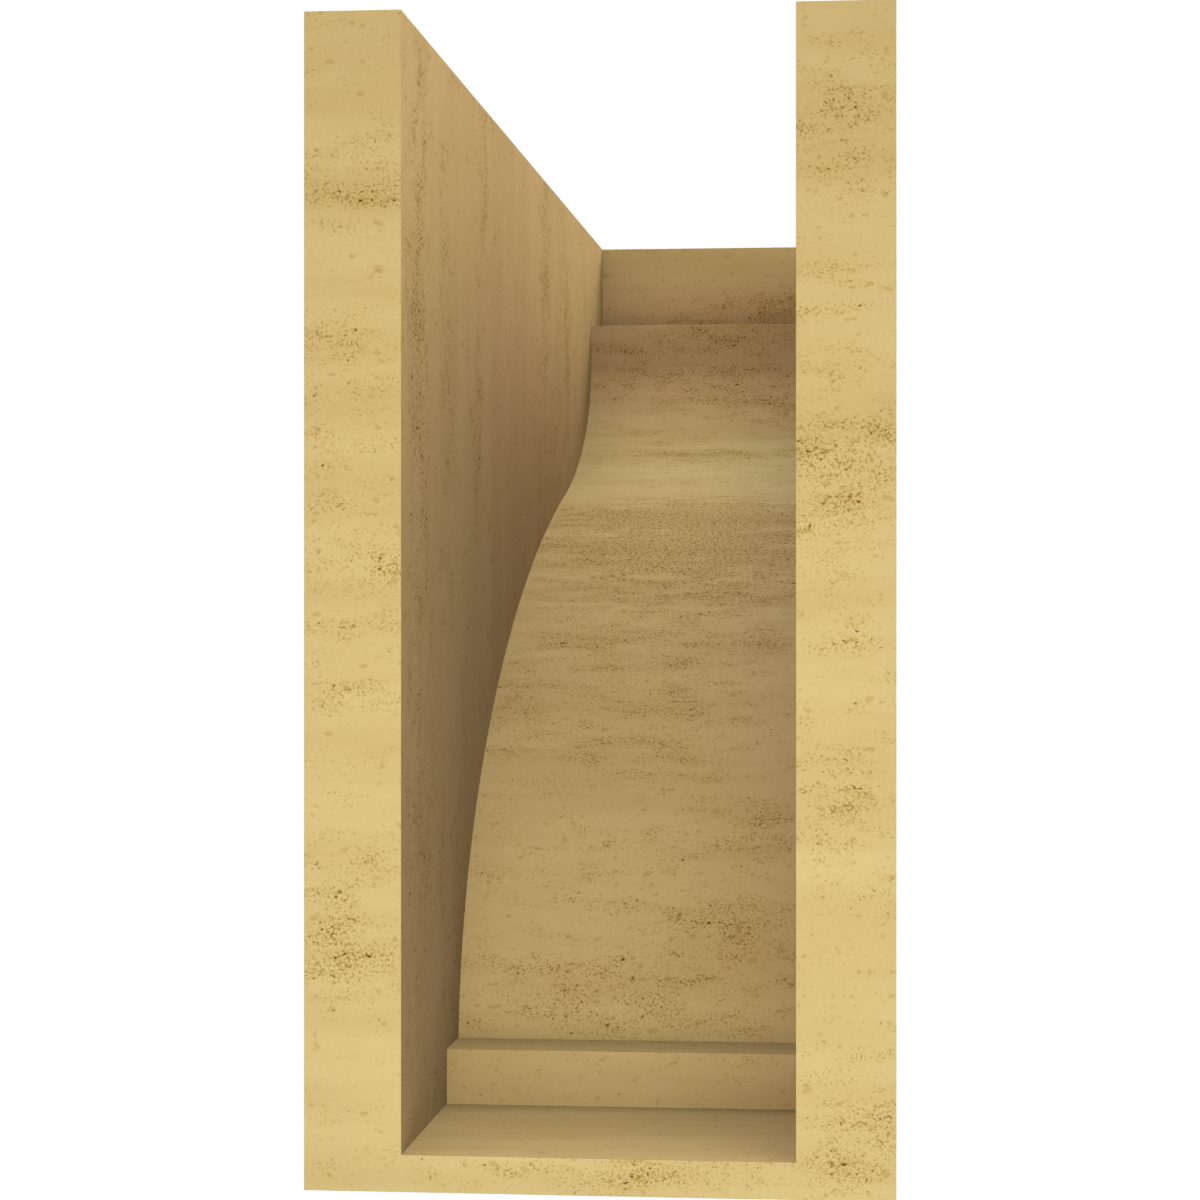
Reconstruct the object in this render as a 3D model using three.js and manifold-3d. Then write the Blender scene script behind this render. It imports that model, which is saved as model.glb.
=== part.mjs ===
// A long ogee corbel, moulded in one piece and hollow behind: two thick side walls joined by a thin
// curved front, a floor at the foot and an upright fascia at the head. The back and the top are open.
// Units are millimetres. The back face is the plane y = 0 and the corbel projects towards -y, with +z up
// and x across its width. The origin is on the back face, at the middle of the rail across its foot.

import * as THREE from "three";
import {
  mergeVertices,
  toCreasedNormals,
} from "three/addons/utils/BufferGeometryUtils.js";
import Module from "manifold-3d";

// Overall size
const WIDTH = 152.4;
const HEIGHT = 304.8;
const PROJECTION = 530; // from the back face to the front of the fascia

// Walls
const SIDE_WALL = 25.4;
const SHELL = 9.5; // the floor, the curved front and the fascia

// Side profile, from the foot up
const BLOCK_HEIGHT = 15.5; // the plain block below the curve
const BLOCK_PROJECTION = 87;
const FOOT_STEP = 21.3; // how far the foot of the curve stands out from the block
const HEAD_STEP = 47.3; // how far the head of the curve is set back from the fascia
const HEAD_LAND = 7.9; // the upright strip between the curve and the fascia's underside
const FASCIA_HEIGHT = 47.1;

// The ogee: a hollow lower arc that runs into a rounded upper one, both stretched along the projection
const ARC_TURN = THREE.MathUtils.degToRad(58.3); // what each arc turns through, before the stretch
const LOWER_SHARE = 0.716; // the lower arc's share of the rise and of the run
const LOWER_STEPS = 44;
const UPPER_STEPS = 28;

// How far a cutter runs past the open back and the open top
const CUT_PAST = 10;

// Faces that meet at less than this are shaded as one smooth surface
const CREASE = THREE.MathUtils.degToRad(20);

const FINISH = { color: 0xdcc386, roughness: 0.85, metalness: 0 };

// A profile point is (projection from the wall, height above the underside).
const point = (projection, height) => new THREE.Vector2(projection, height);

const ogee = {
  foot: point(BLOCK_PROJECTION + FOOT_STEP, BLOCK_HEIGHT),
  head: point(PROJECTION - HEAD_STEP, HEIGHT - FASCIA_HEIGHT - HEAD_LAND),
};

// Points along the ogee from foot to head, moved square to the curve by `inset`, into the corbel.
function ogeePoints(inset) {
  const { foot, head } = ogee;
  const run = head.x - foot.x;
  const rise = head.y - foot.y;
  const arc = (from, share, way, turned) => {
    const along = (share * run) / (1 - Math.cos(ARC_TURN));
    const up = (share * rise) / Math.sin(ARC_TURN);
    const at = point(
      from.x + way * along * (1 - Math.cos(turned)),
      from.y + way * up * Math.sin(turned),
    );
    const tangent = point(
      along * Math.sin(turned),
      up * Math.cos(turned),
    ).normalize();
    return at.add(point(-tangent.y, tangent.x).multiplyScalar(inset));
  };
  const points = [];
  for (let i = 0; i <= LOWER_STEPS; i++)
    points.push(arc(foot, LOWER_SHARE, 1, (ARC_TURN * i) / LOWER_STEPS));
  for (let i = UPPER_STEPS - 1; i >= 0; i--)
    points.push(arc(head, 1 - LOWER_SHARE, -1, (ARC_TURN * i) / UPPER_STEPS));
  return points;
}

// The part of a rising row of points above a height, starting exactly at that height.
function above(points, height) {
  const first = points.findIndex((p) => p.y > height);
  const [below, next] = [points[first - 1], points[first]];
  const start = below
    .clone()
    .lerp(next, (height - below.y) / (next.y - below.y));
  return [start, ...points.slice(first)];
}

function outerProfile() {
  const fasciaFoot = HEIGHT - FASCIA_HEIGHT;
  return [
    point(0, 0),
    point(BLOCK_PROJECTION, 0),
    point(BLOCK_PROJECTION, BLOCK_HEIGHT),
    ...ogeePoints(0),
    point(ogee.head.x, fasciaFoot),
    point(PROJECTION, fasciaFoot),
    point(PROJECTION, HEIGHT),
    point(0, HEIGHT),
  ];
}

// The hollow keeps one shell's thickness inside the outer profile, and runs out of the back and the top.
function hollowProfile() {
  const ledge = BLOCK_HEIGHT + SHELL;
  const shelf = HEIGHT - FASCIA_HEIGHT + SHELL;
  const fasciaBack = PROJECTION - SHELL;
  return [
    point(-CUT_PAST, SHELL),
    point(BLOCK_PROJECTION - SHELL, SHELL),
    point(BLOCK_PROJECTION - SHELL, ledge),
    ...above(ogeePoints(SHELL), ledge),
    point(ogee.head.x - SHELL, shelf),
    point(fasciaBack, shelf),
    point(fasciaBack, HEIGHT + CUT_PAST),
    point(-CUT_PAST, HEIGHT + CUT_PAST),
  ];
}

// A profile made solid across a width that is centred on the corbel.
function slab(profile, width) {
  const geometry = new THREE.ExtrudeGeometry(new THREE.Shape(profile), {
    depth: width,
    bevelEnabled: false,
  });
  const projection = new THREE.Vector3(0, -1, 0);
  const up = new THREE.Vector3(0, 0, 1);
  const across = new THREE.Vector3().crossVectors(projection, up);
  const placed = new THREE.Matrix4()
    .makeBasis(projection, up, across)
    .setPosition(width / 2, 0, -SHELL / 2);
  return geometry.applyMatrix4(placed);
}

const wasm = await Module();
wasm.setup();

function solidFrom(geometry) {
  const bare = new THREE.BufferGeometry();
  bare.setAttribute("position", geometry.getAttribute("position"));
  if (geometry.index) bare.setIndex(geometry.index);
  const merged = mergeVertices(bare, 1e-4);
  return new wasm.Manifold(
    new wasm.Mesh({
      numProp: 3,
      vertProperties: new Float32Array(merged.getAttribute("position").array),
      triVerts: new Uint32Array(merged.index.array),
    }),
  );
}

function geometryFrom(solid) {
  const { vertProperties, triVerts, numProp } = solid.getMesh();
  const geometry = new THREE.BufferGeometry();
  geometry.setAttribute(
    "position",
    new THREE.BufferAttribute(vertProperties, numProp),
  );
  geometry.setIndex(new THREE.BufferAttribute(triVerts, 1));
  return toCreasedNormals(geometry, CREASE);
}

// The corbel is the whole side profile less the hollow between its side walls.
function corbelShell() {
  const whole = solidFrom(slab(outerProfile(), WIDTH));
  const hollow = solidFrom(slab(hollowProfile(), WIDTH - 2 * SIDE_WALL));
  const mesh = new THREE.Mesh(
    geometryFrom(whole.subtract(hollow)),
    new THREE.MeshStandardMaterial(FINISH),
  );
  mesh.name = "corbel_shell";
  return mesh;
}

const corbel = new THREE.Group();
corbel.add(corbelShell());

export default corbel;
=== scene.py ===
"""A long hollow ogee corbel moulded in one piece as pale tan timber, seen from the wall side."""

import math
import random

import bmesh
import bpy
import numpy as np
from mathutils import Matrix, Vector, geometry


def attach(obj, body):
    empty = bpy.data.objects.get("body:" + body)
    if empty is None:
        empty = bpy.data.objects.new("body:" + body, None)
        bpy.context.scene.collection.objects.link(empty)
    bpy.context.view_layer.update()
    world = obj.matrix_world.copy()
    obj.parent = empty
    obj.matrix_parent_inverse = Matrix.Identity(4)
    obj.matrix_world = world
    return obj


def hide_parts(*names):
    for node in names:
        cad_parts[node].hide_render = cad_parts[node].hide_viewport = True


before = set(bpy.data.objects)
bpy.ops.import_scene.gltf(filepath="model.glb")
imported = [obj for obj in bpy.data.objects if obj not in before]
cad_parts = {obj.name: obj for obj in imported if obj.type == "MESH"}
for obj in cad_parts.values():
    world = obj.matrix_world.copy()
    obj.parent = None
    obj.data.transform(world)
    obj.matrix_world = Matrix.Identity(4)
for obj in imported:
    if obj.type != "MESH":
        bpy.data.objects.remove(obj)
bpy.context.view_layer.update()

NODE = "corbel_shell"
MM = 0.001

# The moulded surface
EDGE_RADIUS = 0.12 * MM
EDGE_STEPS = 2
PITCH = 3.0 * MM  # spacing of the surface's points
SAME_PLACE = 1e-5  # points of a face that are closer than this, in millimetres, count as one
INSIDE_RIM = 1  # has the triangulation keep to the inside of a face's rim
LEAST_FACE = 1.5  # the narrowest face that has points inside its edge, in pitches
CLEARANCE = 0.55  # least distance of those points from its edge, in pitches
WELD = 0.01 * MM
SHARP = math.radians(25)
FLAT = math.radians(0.05)
EASED = 1  # the material index that marks the faces which ease an edge
SIDEWAYS = 0.7  # the least part of x in the normal of a side face
EDGE_PULL = 0.001  # an eased edge's say in the shading of the flat faces that it joins

# The sheets of grain
TIE = 0.05 * MM  # the hollow's outline runs over the rims, which belong to the outside
SIDE_SPLITS = (0.08, 0.5, 0.92)  # between the four side faces, as shares of the width
SHEET_SHIFT = (1.7, 0.9)  # from each sheet's places in the grain to the next one's, in metres
INNER_STRETCH = 0.35  # scales the places across the inner side faces, which widens the specks
OVERLAP = 0.4  # the share of the weaker of two crossing bands that is added to the stronger
FALL = 1.2  # how steeply a band ends

# The sheets that the grain lies on: the outside with the rims, the hollow, then the side faces in
# order of x
OUTSIDE, HOLLOW, FAR_SIDE, FAR_INSIDE, NEAR_INSIDE, NEAR_SIDE = range(6)

# Bands of close dark specks: the middle along and across the grain and half the size each way, in
# millimetres, and how dark. On the outside, along is x and across runs up from the foot of the
# back. In the hollow, along is x and across runs from the back over the floor and up the curve. On
# the side faces, along is z and across is y.
BANDS = {
    OUTSIDE: (
        (64, 258, 24, 6, 0.48), (64, 267, 22, 8, 0.31), (67, 252, 18, 5, 0.2),
        (69, 221, 14, 8, 0.42), (68, 210, 15, 11, 0.31), (65, 198, 20, 8, 0.24),
        (64, 180, 22, 6, 0.28), (64, 163, 24, 8, 0.42), (65, 145, 21, 10, 0.24),
        (64, 129, 22, 5, 0.2), (67, 84, 20, 10, 0.34), (69, 69, 15, 10, 0.42),
        (65, 58, 22, 10, 0.42), (-62, 288, 21, 6, 0.28), (-61, 273, 20, 11, 0.42),
        (-67, 263, 18, 6, 0.34), (-57, 235, 14, 11, 0.24), (-67, 212, 15, 6, 0.24),
        (-61, 196, 21, 10, 0.42), (-62, 185, 22, 13, 0.55), (-65, 175, 21, 6, 0.42),
        (-59, 163, 18, 10, 0.24), (-68, 144, 14, 8, 0.31), (-61, 116, 20, 6, 0.18),
        (-65, 102, 22, 11, 0.45), (-59, 91, 14, 6, 0.28), (-65, 79, 21, 5, 0.28),
        (-63, 35, 21, 6, 0.18), (-65, 21, 21, 10, 0.42), (-66, 10, 21, 8, 0.42),
        (-11, 6, 55, 6, 0.42),
    ),
    HOLLOW: (
        (30, 677, 12, 3, 0.45), (-25, 651, 32, 6, 0.75), (-5, 645, 48, 4, 0.6),
        (0, 583, 62, 10, 0.5), (0, 565, 62, 13, 0.54), (-30, 548, 26, 10, 0.5),
        (25, 538, 30, 6, 0.35), (3, 515, 48, 8, 0.63), (-8, 414, 66, 34, 1.0),
        (-6, 366, 66, 33, 0.9), (-6, 322, 56, 26, 0.62), (-9, 284, 52, 14, 0.3),
        (31, 278, 22, 10, 0.48), (-25, 278, 20, 9, 0.42), (-21, 262, 26, 11, 0.27),
        (43, 238, 14, 26, 0.45), (-17, 234, 17, 7, 0.52), (15, 216, 28, 6, 0.27),
        (-29, 193, 15, 5, 0.27), (-38, 185, 10, 10, 0.45), (-14, 180, 28, 4, 0.35),
        (14, 168, 13, 8, 0.27), (-22, 151, 27, 7, 0.46), (-31, 142, 18, 6, 0.35),
        (0, 134, 60, 11, 0.34), (-6, 122, 60, 9, 0.35), (-13, 87, 17, 5, 0.23),
        (0, 150, 50, 50, 0.2), (0, 250, 50, 75, 0.34), (0, 390, 70, 70, 0.2),
        (0, 530, 50, 70, 0.15),
    ),
    NEAR_INSIDE: (
        (235, -28, 75, 22, 0.58), (142, -30, 60, 20, 0.42), (272, -155, 34, 16, 0.38),
        (255, -311, 60, 18, 0.6), (245, -379, 50, 22, 0.52), (196, -135, 26, 16, 0.42),
        (215, -78, 60, 16, 0.36), (79, -26, 50, 20, 0.42), (175, -300, 60, 20, 0.4),
        (60, -95, 60, 30, 0.25),
    ),
}

# Bands strewn at random where the photograph shows nothing: the seed, two corners of the sheet,
# and how many. Then the range of their half lengths, half breadths and darkness.
SIDE_FACE = ((0, -530), (300, 0))
STREWN = {
    OUTSIDE: (5, (-76, 320), (76, 1580), 90),
    FAR_SIDE: (6, *SIDE_FACE, 60),
    FAR_INSIDE: (7, *SIDE_FACE, 60),
    NEAR_SIDE: (8, *SIDE_FACE, 60),
}
STREWN_RANGES = ((14, 48), (3, 9), (0.3, 0.8))

# Painted shade: soft brown darkening where shade falls deep in the hollow, along its far side and
# low on its inner side faces, given as the bands are.
PAINTED_SHADE = {
    HOLLOW: ((0, 577, 90, 33, 1.0), (0, 642, 90, 18, 1.0), (-60, 250, 30, 400, 0.7)),
    FAR_INSIDE: ((70, -200, 130, 400, 1.0), (170, -330, 60, 120, 0.4)),
    NEAR_INSIDE: ((70, -200, 130, 400, 1.0), (170, -330, 60, 120, 0.4), (212, -245, 60, 120, 1.0)),
}

# Painted warm bounce light in the shade: the whole hollow and its inner side faces a little
# warmer, and most of all behind the fascia.
PAINTED_BOUNCE_LIGHT = {
    HOLLOW: ((0, 330, 500, 2000, 0.55), (0, 670, 300, 65, 0.9)),
    FAR_INSIDE: ((150, -260, 500, 2000, 0.5),),
    NEAR_INSIDE: ((150, -260, 500, 2000, 0.5),),
}

# Painted light: paler where the most light falls, across the top of the curve.
PAINTED_LIT_CURVE = {HOLLOW: ((0, 488, 500, 52, 1.0),)}

# The photograph's camera, in the corbel's frame
CAMERA_AT = Vector((-0.07627, 0.74676, 0.14784))
CAMERA_YAW = 0.1008  # in radians, from straight at the back towards +x
CAMERA_NEAR = 0.01
CAMERA_LENS = 87.98  # in millimetres, as the sensor is
SENSOR = 36.0

# The soft boxes: the direction of each, how narrow it is, and its colour. Then the soft lamps on
# the camera's side: place, width, and power in watts of red, green and blue.
AMBIENT = (0.07, 0.07, 0.07)
SOFT_BOXES = (
    ((0, 0, 1), 12, (2.2, 2.05, 2.05)),
    ((0, -1, 1), 12, (3.25, 2.95, 2.85)),
    ((-1, -1, 1), 12, (4.25, 3.3, 2.5)),
    ((1, -1, 1), 12, (2.3, 2.35, 2.35)),
    ((-1, 1, 1), 12, (1.04, 0.92, 0.9)),
    ((0, 1, 1), 4, (0.49, 0.43, 0.4)),
    ((0, 1, 0), 12, (1.3, 1.26, 1.24)),
    ((-1, 1, 0), 12, (0.33, 0.27, 0.25)),
    ((1, 0, 0), 8, (1.1, 0.85, 0.68)),
    ((-1, 0, 0), 8, (0.22, 0.2, 0.2)),
    ((0, -1, -0.6), 4, (1.1, 0.95, 0.82)),
)
LAMPS = (
    ((0, 1.3, -0.15), 0.3, (1.2, 0.98, 0.84)),
    ((0, 1.3, 0.1), 0.3, (0.72, 0.56, 0.46)),
    ((-0.5, 0.9, 0.1), 0.3, (0.24, 0.23, 0.23)),
    ((0, 0.9, 0.1), 0.3, (0.55, 0.43, 0.35)),
    ((0, 0.9, 0.35), 0.3, (0.13, 0.05, 0.02)),
    ((0, 0.35, 0.1), 0.15, (0.35, 0.33, 0.32)),
    ((-0.15, 0.25, -0.1), 0.15, (0.15, 0.17, 0.19)),
    ((0.15, 0.25, -0.1), 0.15, (0.02, 0.04, 0.05)),
    ((0.15, 0.25, -0.3), 0.15, (0.02, 0.07, 0.11)),
)
LAMPS_AIM = Vector((0, 0, 0.15))
WHITE = (1, 1, 1, 1)

FLOOR_HEIGHT = -2.0
FLOOR_SIZE = 14.0
FLOOR_COLOUR = (0.9, 0.9, 0.9, 1)


def merged_cage(node):
    """The CAD solid with its triangles joined into flat faces."""
    cage = bmesh.new()
    cage.from_mesh(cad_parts[node].data)
    bmesh.ops.remove_doubles(cage, verts=cage.verts, dist=WELD)
    bmesh.ops.dissolve_limit(
        cage, angle_limit=FLAT, verts=cage.verts, edges=cage.edges, delimit=set()
    )
    cage.normal_update()
    return cage


def outline(cage, outside):
    """The closed side outline of the corbel, or of its hollow, as (y, z) points. It starts at the
    lowest corner of the back: the corbel's runs up the back first, and the hollow's along its
    floor."""
    sides = [f for f in cage.faces if f.normal.x > SIDEWAYS]
    pick = max if outside else min
    face = pick(sides, key=lambda f: f.calc_center_median().x)
    points = np.array([(v.co.y, v.co.z) for v in face.verts])
    from_back = np.round(-points[:, 0] / WELD)
    start = np.lexsort((points[:, 1], from_back))[0]
    points = np.roll(points, -start, axis=0)
    ahead, behind = points[1] - points[0], points[-1] - points[0]
    upright = abs(ahead[1]) > abs(behind[1])
    return points if upright == outside else np.roll(points[::-1], 1, axis=0)


def along(points, closed):
    """For (y, z) points: how far round a closed outline the nearest place is, and how far off."""
    step = np.roll(closed, -1, axis=0) - closed
    length = np.linalg.norm(step, axis=1)
    before = np.concatenate([[0], np.cumsum(length)[:-1]])
    share = np.einsum("nsk,sk->ns", points[:, None] - closed, step) / length**2
    share = share.clip(0, 1)
    off = np.linalg.norm(points[:, None] - closed - share[..., None] * step, axis=2)
    best = off.argmin(axis=1)
    row = np.arange(len(points))
    return before[best] + share[row, best] * length[best], off[row, best]


def ease_edges(cage):
    """Rounds every sharp edge a little, and marks the faces that do it as eased."""
    sharp = [e for e in cage.edges if e.calc_face_angle() > SHARP]
    made = bmesh.ops.bevel(
        cage,
        geom=sharp,
        offset=EDGE_RADIUS,
        offset_type="OFFSET",
        segments=EDGE_STEPS,
        profile=0.5,
        affect="EDGES",
        clamp_overlap=True,
    )
    for face in made["faces"]:
        face.material_index = EASED
    cage.normal_update()
    cage.verts.index_update()
    cage.faces.index_update()


def inner_points(loop, pitch):
    """A grid of points inside a flat loop, a little clear of its edge."""
    low, high = loop.min(axis=0), loop.max(axis=0)
    if (high - low).min() < LEAST_FACE * pitch:
        return np.empty((0, 2))
    count = np.round((high - low) / pitch).astype(int)
    rows = [np.linspace(low[k], high[k], count[k] + 1)[1:-1] for k in (0, 1)]
    grid = np.stack(np.meshgrid(*rows), axis=-1).reshape(-1, 2)
    a, b = loop, np.roll(loop, -1, axis=0)
    level = (a[:, 1] > grid[:, None, 1]) != (b[:, 1] > grid[:, None, 1])
    rise = np.where(a[:, 1] == b[:, 1], 1, b[:, 1] - a[:, 1])
    cross = a[:, 0] + (grid[:, None, 1] - a[:, 1]) * (b[:, 0] - a[:, 0]) / rise
    inside = (level & (grid[:, None, 0] < cross)).sum(axis=1) % 2 == 1
    near = np.linalg.norm(grid[:, None] - loop, axis=2).min(axis=1)
    return grid[inside & (near > CLEARANCE * pitch)]


def fine_surface(cage, pitch):
    """Points about a pitch apart that fill the cage's faces, their triangles, and the face of each
    triangle."""
    points = [v.co.copy() for v in cage.verts]
    along_edge = {}
    for edge in cage.edges:
        a, b = edge.verts
        count = max(1, round(edge.calc_length() / pitch))
        ids = [a.index]
        for step in range(1, count):
            points.append(a.co.lerp(b.co, step / count))
            ids.append(len(points) - 1)
        along_edge[edge] = ids + [b.index]
    triangles, owners = [], []
    for face in cage.faces:
        ids = []
        for corner in face.loops:
            run = along_edge[corner.edge]
            ids += run[:-1] if run[0] == corner.vert.index else run[:0:-1]
        axis = Vector((0, 1, 0)) if abs(face.normal.x) > SIDEWAYS else Vector((1, 0, 0))
        up = face.normal.cross(axis).normalized()
        side = up.cross(face.normal)
        middle = face.calc_center_median()
        flat = np.array(
            [((points[i] - middle).dot(side), (points[i] - middle).dot(up)) for i in ids]
        )
        filling = inner_points(flat, pitch)
        for u, v in filling:
            points.append(middle + side * float(u) + up * float(v))
        ids += range(len(points) - len(filling), len(points))
        places = [Vector(p) / MM for p in np.concatenate([flat, filling])]
        rim = list(range(len(flat)))
        made = geometry.delaunay_2d_cdt(places, [], [rim], INSIDE_RIM, SAME_PLACE)
        sources = [ids[found[0]] for found in made[3]]
        for corners in made[2]:
            triangles.append([sources[c] for c in corners])
            owners.append(face.index)
    return np.array(points), np.array(triangles), np.array(owners)


def sheets_of(middles, normals, outer, inner):
    """The sheet of grain that each triangle belongs to, and whether it lies on a side face."""
    side = np.abs(normals[:, 0]) > SIDEWAYS
    off_outer = along(middles[:, 1:], outer)[1]
    off_inner = along(middles[:, 1:], inner)[1]
    sheet = np.where(off_outer < off_inner + TIE, OUTSIDE, HOLLOW)
    low, high = middles[:, 0].min(), middles[:, 0].max()
    share = (middles[:, 0] - low) / (high - low)
    rank = np.searchsorted(SIDE_SPLITS, share)
    sheet[side] = FAR_SIDE + rank[side]
    return sheet, side


def grain_places(points, triangles, sheet, side, outer, inner):
    """Each corner's place in its sheet of grain, in metres: along the grain, then across it. The
    grain runs up the side faces and across the width everywhere else."""
    corners = points[triangles]
    places = np.empty(corners.shape[:2] + (2,))
    places[side] = corners[side][..., [2, 1]]
    for skin, closed in ((OUTSIDE, outer), (HOLLOW, inner)):
        mine = (sheet == skin) & ~side
        at = corners[mine]
        places[mine, :, 0] = at[..., 0]
        places[mine, :, 1] = along(at.reshape(-1, 3)[:, 1:], closed)[0].reshape(-1, 3)
    return places


def strewn(seed, low, high, number):
    """Bands strewn over a sheet, from one corner to the other."""
    draw = random.Random(seed)
    ranges = (*zip(low, high), *STREWN_RANGES)
    return [tuple(draw.uniform(*ends) for ends in ranges) for _ in range(number)]


def all_bands():
    """The bands placed by eye on each sheet, and after them the strewn ones."""
    bands = {sheet: list(rows) for sheet, rows in BANDS.items()}
    for sheet, how in STREWN.items():
        bands.setdefault(sheet, []).extend(strewn(*how))
    return bands


def strength(bands, places, sheets):
    """How strong the bands are at each place of a sheet, from 0 up to about 1."""
    total = np.zeros(len(places))
    for sheet, rows in bands.items():
        mine = sheets == sheet
        u, v = places[mine].T / MM
        for middle_u, middle_v, half_u, half_v, dark in rows:
            off = ((u - middle_u) / half_u) ** 2 + ((v - middle_v) / half_v) ** 2
            near = dark * np.exp(-(off**FALL))
            most, least = np.maximum(total[mine], near), np.minimum(total[mine], near)
            total[mine] = most + OVERLAP * least
    return total


def point_normals(points, triangles, weight):
    """Normals at the points, from the triangles around each, by area and weight."""
    a, b, c = (points[triangles[:, k]] for k in range(3))
    normals = np.cross(b - a, c - a) * weight[:, None]
    total = np.zeros_like(points)
    for k in range(3):
        np.add.at(total, triangles[:, k], normals)
    return total / np.linalg.norm(total, axis=1, keepdims=True)


def on_points(values, triangles, order, number):
    """Values of triangles' corners handed to their points. The last triangle in order decides."""
    kept = np.empty((number,) + values.shape[2:], values.dtype)
    kept[triangles[order].ravel()] = values[order].reshape((-1,) + values.shape[2:])
    return kept


def corbel_mesh():
    """The whole moulding as one closed mesh, with its grain's places as a UV map, and how strong
    the specks, the painted shade, the painted warm bounce light and the painted light are at each
    point as attributes."""
    cage = merged_cage(NODE)
    outer, inner = outline(cage, True), outline(cage, False)
    ease_edges(cage)
    points, triangles, owners = fine_surface(cage, PITCH)
    cage.faces.ensure_lookup_table()
    eased = np.array([f.material_index == EASED for f in cage.faces])[owners]
    flat_normals = np.array([f.normal[:] for f in cage.faces])[owners]
    cage.free()

    mesh = bpy.data.meshes.new("corbel_moulding")
    mesh.from_pydata(points.tolist(), [], triangles.tolist())

    sheet, side = sheets_of(points[triangles].mean(axis=1), flat_normals, outer, inner)
    places = grain_places(points, triangles, sheet, side, outer, inner)
    order = np.argsort(~eased, kind="stable")  # the flat faces come last and decide
    corner_sheet = np.repeat(sheet[:, None], 3, axis=1)
    point_place = on_points(places, triangles, order, len(points))
    point_sheet = on_points(corner_sheet, triangles, order, len(points))
    # after the specks: painted shade deep in the hollow, painted warm bounce light in its shade,
    # and painted light across the top of the curve
    layers = {"speckle": all_bands(), "painted_shade": PAINTED_SHADE, "painted_bounce_light": PAINTED_BOUNCE_LIGHT, "pale": PAINTED_LIT_CURVE}
    for name, bands in layers.items():
        values = strength(bands, point_place, point_sheet).astype(np.float32)
        mesh.attributes.new(name, "FLOAT", "POINT").data.foreach_set("value", values)

    inner_side = (sheet == FAR_INSIDE) | (sheet == NEAR_INSIDE)
    places[inner_side, :, 1] *= INNER_STRETCH
    shift = sheet[:, None, None] * np.array(SHEET_SHIFT)
    grain = mesh.uv_layers.new(name="grain")
    grain.data.foreach_set("uv", (places + shift).astype(np.float32).ravel())

    mesh.shade_smooth()
    shading = point_normals(points, triangles, np.where(eased, EDGE_PULL, 1.0))
    mesh.normals_split_custom_set_from_vertices(shading.tolist())
    mesh.validate()
    return mesh


def link(name, data):
    """A new object in the scene."""
    made = bpy.data.objects.new(name, data)
    bpy.context.scene.collection.objects.link(made)
    return made


# Where a Mix node keeps its sockets for colours
MIX_AMOUNT, MIX_A, MIX_B = 0, 6, 7
MIX_RESULT = 2


class Nodes:
    """Short names for building a node tree."""

    def __init__(self, tree):
        self.tree = tree
        tree.nodes.clear()

    def new(self, kind, inputs=None, **settings):
        """A node with its settings, and with its inputs linked to sockets or set to values."""
        node = self.tree.nodes.new(kind)
        for key, value in settings.items():
            setattr(node, key, value)
        for key, value in (inputs or {}).items():
            socket = node.inputs[key]
            if isinstance(value, bpy.types.NodeSocket):
                self.tree.links.new(value, socket)
            else:
                socket.default_value = value
        return node

    def attribute(self, name):
        return self.new("ShaderNodeAttribute", attribute_name=name).outputs["Fac"]

    def math(self, operation, a, b=0.0, c=0.0, clamp=False):
        node = self.new("ShaderNodeMath", {0: a, 1: b, 2: c}, operation=operation)
        node.use_clamp = clamp
        return node.outputs[0]

    def ramp(self, value, low, high, start=0.0, end=1.0, smooth=True):
        """value taken from low..high to start..end, and held there."""
        node = self.new(
            "ShaderNodeMapRange",
            {"Value": value, "From Min": low, "From Max": high, "To Min": start, "To Max": end},
            interpolation_type="SMOOTHSTEP" if smooth else "LINEAR",
        )
        return node.outputs["Result"]

    def stretch(self, vector, along, across, shift=0.0, turn=0.0):
        """vector counted in steps of along by across."""
        node = self.new(
            "ShaderNodeMapping",
            {
                "Vector": vector,
                "Location": (shift, shift, 0),
                "Rotation": (0, 0, turn),
                "Scale": (1 / along, 1 / across, 1),
            },
        )
        return node.outputs["Vector"]

    def noise(self, vector, detail=2.0, roughness=0.5):
        node = self.new(
            "ShaderNodeTexNoise",
            {"Vector": vector, "Scale": 1.0, "Detail": detail, "Roughness": roughness},
            noise_dimensions="2D",
        )
        return node.outputs["Fac"]

    def above(self, value, level, steep):
        """How far value lies above a level, from 0 to 1."""
        return self.math("MULTIPLY", self.math("SUBTRACT", value, level), steep, clamp=True)

    def mix(self, a, b, amount, blend="MIX"):
        """Colour a with a share of it, amount, taken towards its blend with colour b."""
        node = self.new(
            "ShaderNodeMix",
            {MIX_AMOUNT: amount, MIX_A: a, MIX_B: b},
            data_type="RGBA",
            blend_type=blend,
        )
        return node.outputs[MIX_RESULT]

    def tint(self, base, colour, amount):
        """base with a share of it, amount, taken towards base times colour."""
        return self.mix(base, colour, amount, blend="MULTIPLY")


def linear(red, green, blue):
    """A colour given as a picture's sRGB values, 0 to 255, for a shader."""

    def channel(v):
        v /= 255
        return v / 12.92 if v <= 0.04045 else ((v + 0.055) / 1.055) ** 2.4

    return (channel(red), channel(green), channel(blue), 1.0)


GROUND_DARK = linear(210, 189, 126)
GROUND_PALE = linear(217, 198, 135)
# Tints of painted shade deep in the hollow, painted warm bounce light in its shade, and painted
# light across the top of the curve
TINTS_OF_PAINTED_LIGHT = {
    "painted_shade": (1.0, 0.9, 0.97, 1),
    "painted_bounce_light": (1.09, 1.02, 1.0, 1),
    "pale": (1.0, 1.06, 1.07, 1),
}
MOTTLE_TINT = linear(246, 243, 229)
BLOT_TINT = linear(240, 233, 216)
SPECK_TINT = linear(203, 187, 124)
PIT_TINT = linear(136, 106, 50)
RELIEF = 0.12 * MM
RELIEF_STRENGTH = 0.5


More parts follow.
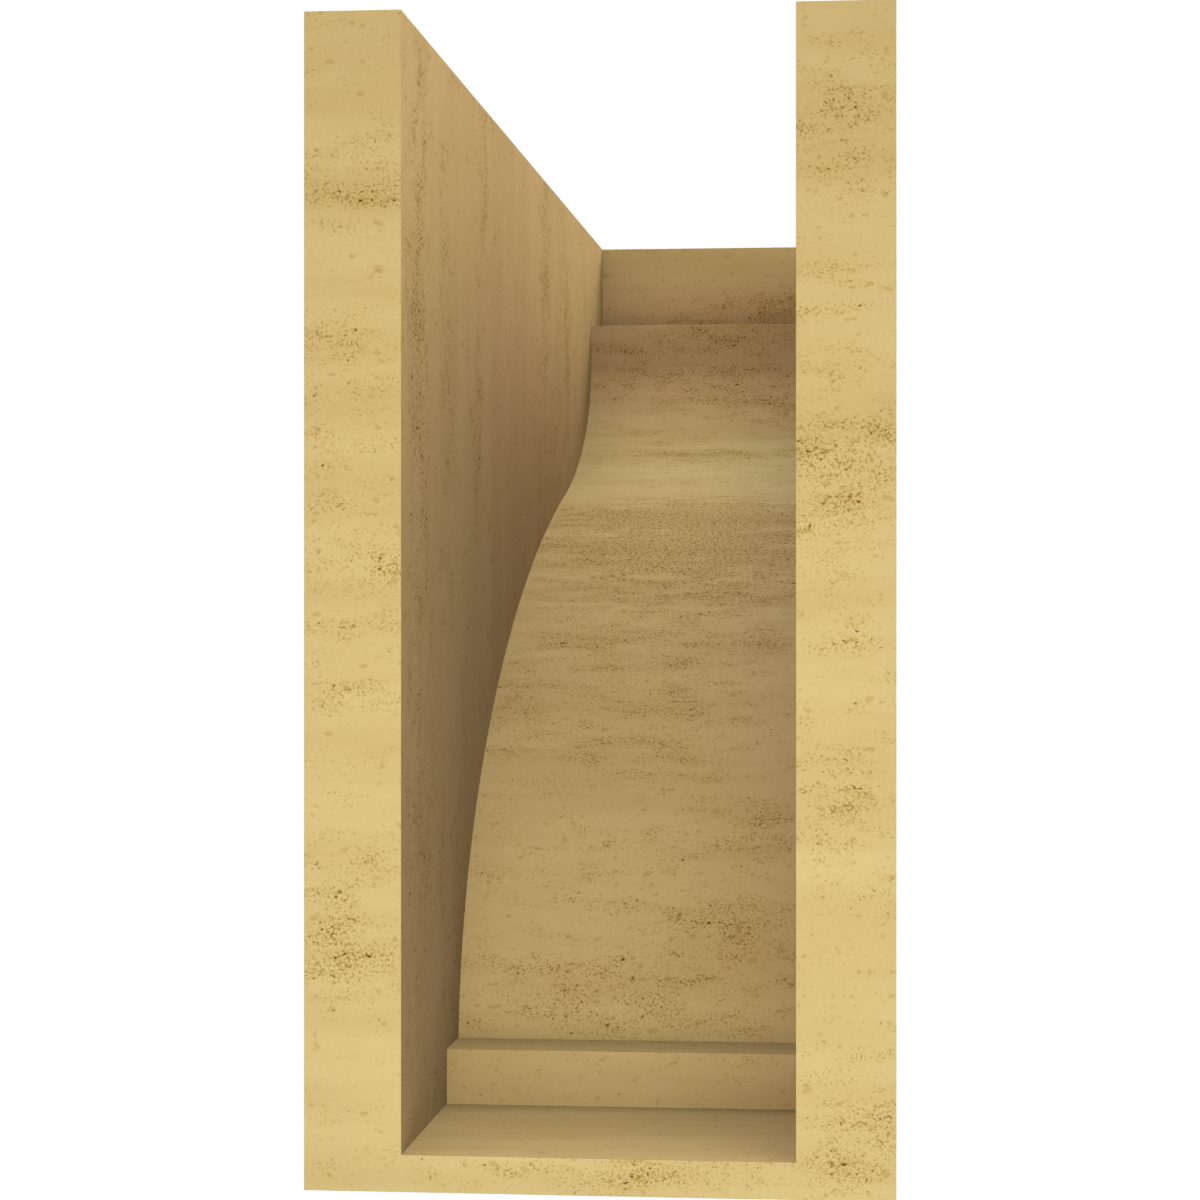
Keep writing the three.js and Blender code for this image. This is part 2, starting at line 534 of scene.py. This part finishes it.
def timber_material():
    """Matt pale tan with dark specks in bands along the grain, soft mottling round them and a few
    blots. Lengths are in millimetres."""
    material = bpy.data.materials.new("moulded_timber")
    material.use_nodes = True
    n = Nodes(material.node_tree)
    output = n.new("ShaderNodeOutputMaterial")
    place = n.stretch(n.new("ShaderNodeUVMap", uv_map="grain").outputs[0], MM, MM)
    close = n.attribute("speckle")

    # How close the specks lie: the bands, broken up along the grain
    band = n.noise(n.stretch(place, 60, 11), detail=2.0)
    patch = n.noise(n.stretch(place, 13, 5, shift=5.3), detail=3.0, roughness=0.6)
    broken = n.math("MULTIPLY_ADD", band, 0.9, n.math("MULTIPLY_ADD", patch, 1.9, -1.42))
    dense = n.math("MULTIPLY_ADD", close, 1.25, broken, clamp=True)

    # Fine specks, larger pits, and soft marks around and between them, where their noise is high
    fine = n.noise(n.stretch(place, 0.84, 0.74, turn=0.6), detail=2.0, roughness=0.6)
    speck = n.above(fine, n.math("MULTIPLY_ADD", dense, -0.25, 0.67), 4.3)
    coarse = n.noise(n.stretch(place, 1.5, 1.25, shift=13.7, turn=-0.5), detail=1.0)
    pit = n.above(coarse, n.math("MULTIPLY_ADD", dense, -0.19, 0.81), 6.2)
    mottle = n.noise(n.stretch(place, 2.6, 1.7, shift=19.3), detail=3.0, roughness=0.6)
    mottle = n.math("MULTIPLY", n.ramp(mottle, 0.45, 0.75), n.ramp(dense, -0.05, 0.6))
    blot = n.ramp(n.noise(n.stretch(place, 4.2, 3.0, shift=31.1), detail=1.0), 0.70, 0.80)
    tone = n.noise(n.stretch(place, 110, 16, shift=2.2), detail=3.0)

    colour = n.mix(GROUND_DARK, GROUND_PALE, n.ramp(tone, 0.3, 0.7))
    # Painted shade, painted warm bounce light and painted light, from the mesh's attributes
    for name, tint in TINTS_OF_PAINTED_LIGHT.items():
        colour = n.tint(colour, tint, n.attribute(name))
    marks = ((MOTTLE_TINT, mottle), (BLOT_TINT, blot), (SPECK_TINT, speck), (PIT_TINT, pit))
    for tint, amount in marks:
        colour = n.tint(colour, tint, amount)

    hollow = n.math("MULTIPLY_ADD", speck, 0.35, pit)
    height = n.math("SUBTRACT", n.math("MULTIPLY", mottle, -0.15), hollow)
    bump = n.new(
        "ShaderNodeBump", {"Height": height, "Strength": RELIEF_STRENGTH, "Distance": RELIEF}
    )
    shader = n.new(
        "ShaderNodeBsdfPrincipled",
        {
            "Base Color": colour,
            "Roughness": n.ramp(n.math("ADD", mottle, hollow), 0, 1.2, 0.80, 0.95, smooth=False),
            "Specular IOR Level": 0.25,
            "Normal": bump.outputs["Normal"],
        },
    )
    n.tree.links.new(shader.outputs[0], output.inputs[0])
    return material


def build_corbel():
    piece = link("corbel_moulding", corbel_mesh())
    piece.data.materials.append(timber_material())
    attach(piece, "root")
    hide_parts(NODE)
    return piece


def build_stage():
    mesh = bpy.data.meshes.new("floor")
    half = FLOOR_SIZE / 2
    corners = [
        (-half, -half, FLOOR_HEIGHT),
        (half, -half, FLOOR_HEIGHT),
        (half, half, FLOOR_HEIGHT),
        (-half, half, FLOOR_HEIGHT),
    ]
    mesh.from_pydata(corners, [], [(0, 1, 2, 3)])
    floor = link("floor", mesh)
    material = bpy.data.materials.new("pale_floor")
    material.use_nodes = True
    shader = material.node_tree.nodes["Principled BSDF"]
    shader.inputs["Base Color"].default_value = FLOOR_COLOUR
    mesh.materials.append(material)


def build_light():
    """A white surround whose light comes mostly from soft boxes overhead and in front, and a few
    soft lamps on the camera's side."""
    world = bpy.data.worlds.new("studio")
    world.use_nodes = True
    n = Nodes(world.node_tree)
    towards = n.new("ShaderNodeTexCoord").outputs["Generated"]
    total = AMBIENT
    for direction, spread, colour in SOFT_BOXES:
        facing = n.new(
            "ShaderNodeVectorMath",
            {0: towards, 1: Vector(direction).normalized()},
            operation="DOT_PRODUCT",
        )
        lit = n.math("POWER", n.math("MAXIMUM", facing.outputs["Value"], 0.0), spread)
        total = n.new(
            "ShaderNodeVectorMath", {0: lit, 1: colour, 2: total}, operation="MULTIPLY_ADD"
        ).outputs[0]
    light = n.new("ShaderNodeBackground", {"Color": total})
    backdrop = n.new("ShaderNodeBackground", {"Color": WHITE})
    seen = n.new("ShaderNodeLightPath").outputs["Is Camera Ray"]
    both = n.new("ShaderNodeMixShader", {0: seen, 1: light.outputs[0], 2: backdrop.outputs[0]})
    n.new("ShaderNodeOutputWorld", {"Surface": both.outputs[0]})
    for number, (place, size, power) in enumerate(LAMPS):
        data = bpy.data.lights.new(f"lamp_{number}", "AREA")
        data.shape = "DISK"
        data.size = size
        data.energy = max(power)
        data.color = Vector(power) / max(power)
        lamp = link(f"lamp_{number}", data)
        lamp.location = place
        lamp.rotation_euler = (LAMPS_AIM - lamp.location).to_track_quat("-Z", "Y").to_euler()
        lamp.visible_camera = False
    scene = bpy.context.scene
    scene.world = world
    scene.view_settings.view_transform = "Standard"
    scene.cycles.diffuse_bounces = 0


def build_camera():
    data = bpy.data.cameras.new("camera")
    data.lens = CAMERA_LENS
    data.sensor_width = SENSOR
    data.clip_start = CAMERA_NEAR
    camera = link("camera", data)
    camera.location = CAMERA_AT
    look = Vector((math.sin(CAMERA_YAW), -math.cos(CAMERA_YAW), 0))
    camera.rotation_euler = look.to_track_quat("-Z", "Y").to_euler()
    bpy.context.scene.camera = camera


build_corbel()
build_stage()
build_light()
build_camera()
